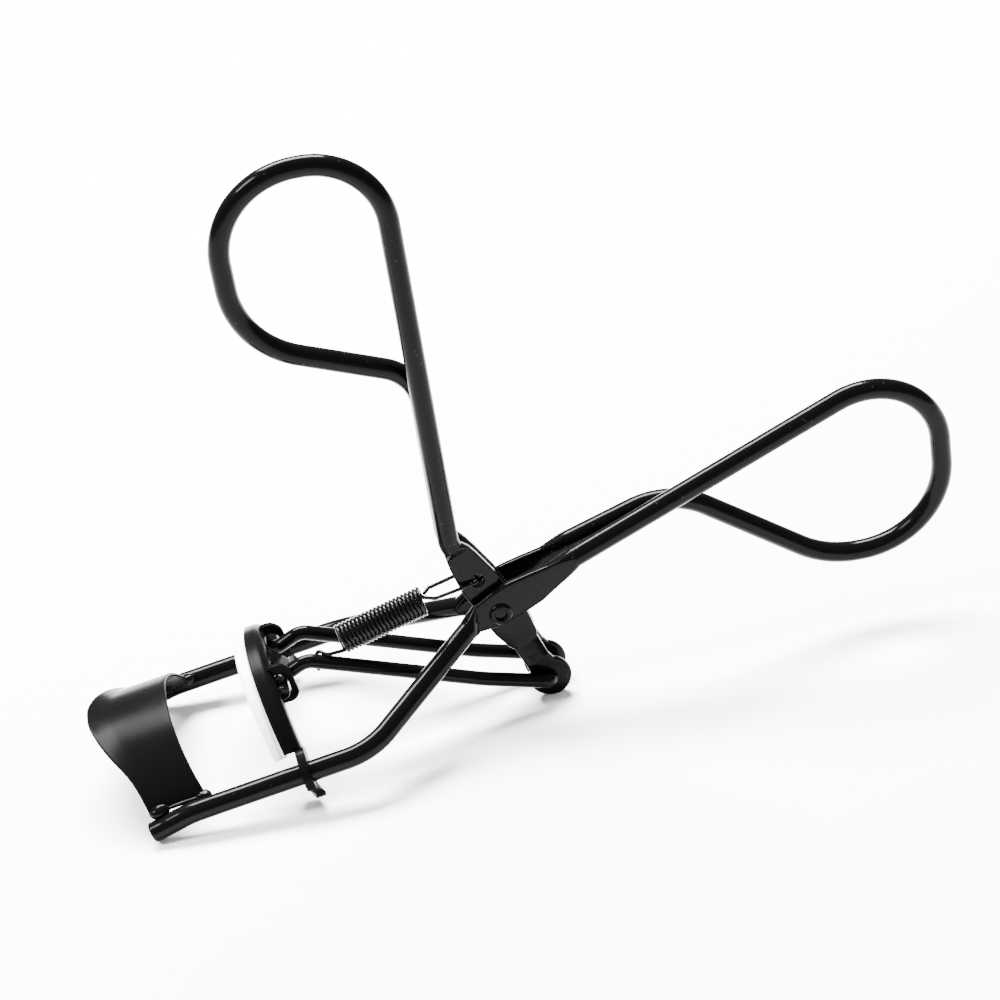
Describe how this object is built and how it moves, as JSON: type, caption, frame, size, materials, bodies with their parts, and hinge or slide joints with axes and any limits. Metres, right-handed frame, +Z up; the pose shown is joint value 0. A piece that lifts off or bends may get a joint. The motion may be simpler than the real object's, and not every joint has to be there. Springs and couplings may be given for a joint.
{
  "type": "eyelash curler",
  "caption": "Hand-held eyelash curler with bent-wire finger loops, a curved fixed jaw, a sliding padded jaw on wire rails and a small return spring.",
  "frame": {"origin": "on the surface it rests on, under the middle of the whole open tool's length and width", "axes": "+X along the tool from the fixed jaw to the frame's finger loop, +Y across the tool to its far side, +Z up"},
  "size_m": [0.111, 0.033, 0.0776],
  "materials": {
    "black_lacquer": "gloss black lacquer on steel wire",
    "black_sheet": "satin black coating on thin steel sheet",
    "white_silicone": "soft satin white silicone",
    "black_spring": "glossy black coated spring wire"
  },
  "bodies": {
    "frame": {"frame_wire": "black_lacquer", "fixed_jaw_plate": "black_sheet", "jaw_weld_beads": "black_lacquer", "pivot_rivet": "black_sheet"},
    "lever": {"lever_wire": "black_lacquer"},
    "push_rod": {"push_rod": "black_lacquer", "return_spring": "black_spring"},
    "moving_jaw": {"moving_jaw": "black_sheet", "silicone_pad": "white_silicone"}
  },
  "joints": [
    {"name": "lever_pivot", "type": "hinge", "parent": "frame", "child": "lever", "pos_m": [-0.00328, 0, 0.0136], "axis": [0, 1, 0], "range_deg": [0, 44], "stiffness_Nm_per_rad": 0.02, "springref_deg": -34.38},
    {"name": "rod_pivot", "type": "hinge", "parent": "lever", "child": "push_rod", "pos_m": [0.00152, 0, 0.00271], "axis": [0, 1, 0], "range_deg": [-45, 0], "deforming": ["return_spring"]},
    {"name": "jaw_slide", "type": "slide", "parent": "frame", "child": "moving_jaw", "axis": [-0.9905, 0, -0.1374], "range_m": [0, 0.0092]}
  ],
  "couplings": [
    {"joint": "rod_pivot", "follows": "lever_pivot", "ratio": -1.016},
    {"joint": "jaw_slide", "follows": "lever_pivot", "m_per_rad": 0.01184}
  ]
}
